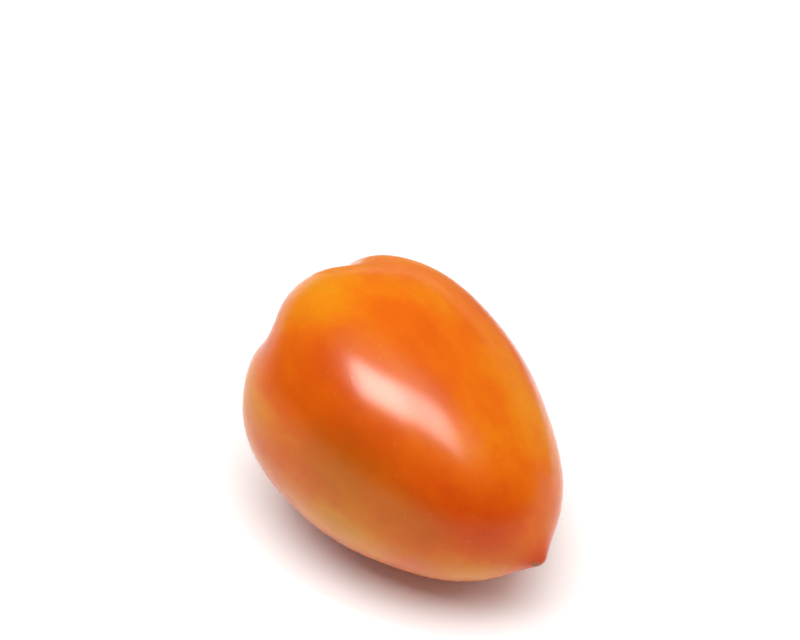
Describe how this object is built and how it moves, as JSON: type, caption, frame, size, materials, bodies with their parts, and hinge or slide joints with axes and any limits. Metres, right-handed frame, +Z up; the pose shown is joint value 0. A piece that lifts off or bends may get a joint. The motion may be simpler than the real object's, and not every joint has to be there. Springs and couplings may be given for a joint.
{
  "type": "plum tomato",
  "caption": "Whole part-ripe plum tomato lying on its side: an egg-shaped fruit with furrowed shoulders, a sunken stem scar and a small pointed blossom tip.",
  "frame": {"origin": "the middle of the fruit's box in X and Y, on the surface it rests on", "axes": "+Z up; +X along the fruit from its stem end to its blossom tip, which droops by 8.6 degrees"},
  "size_m": [0.0728, 0.0566, 0.0553],
  "materials": {
    "tomato_skin": "gloss"
  },
  "bodies": {
    "root": {"tomato": "tomato_skin"}
  },
  "joints": []
}
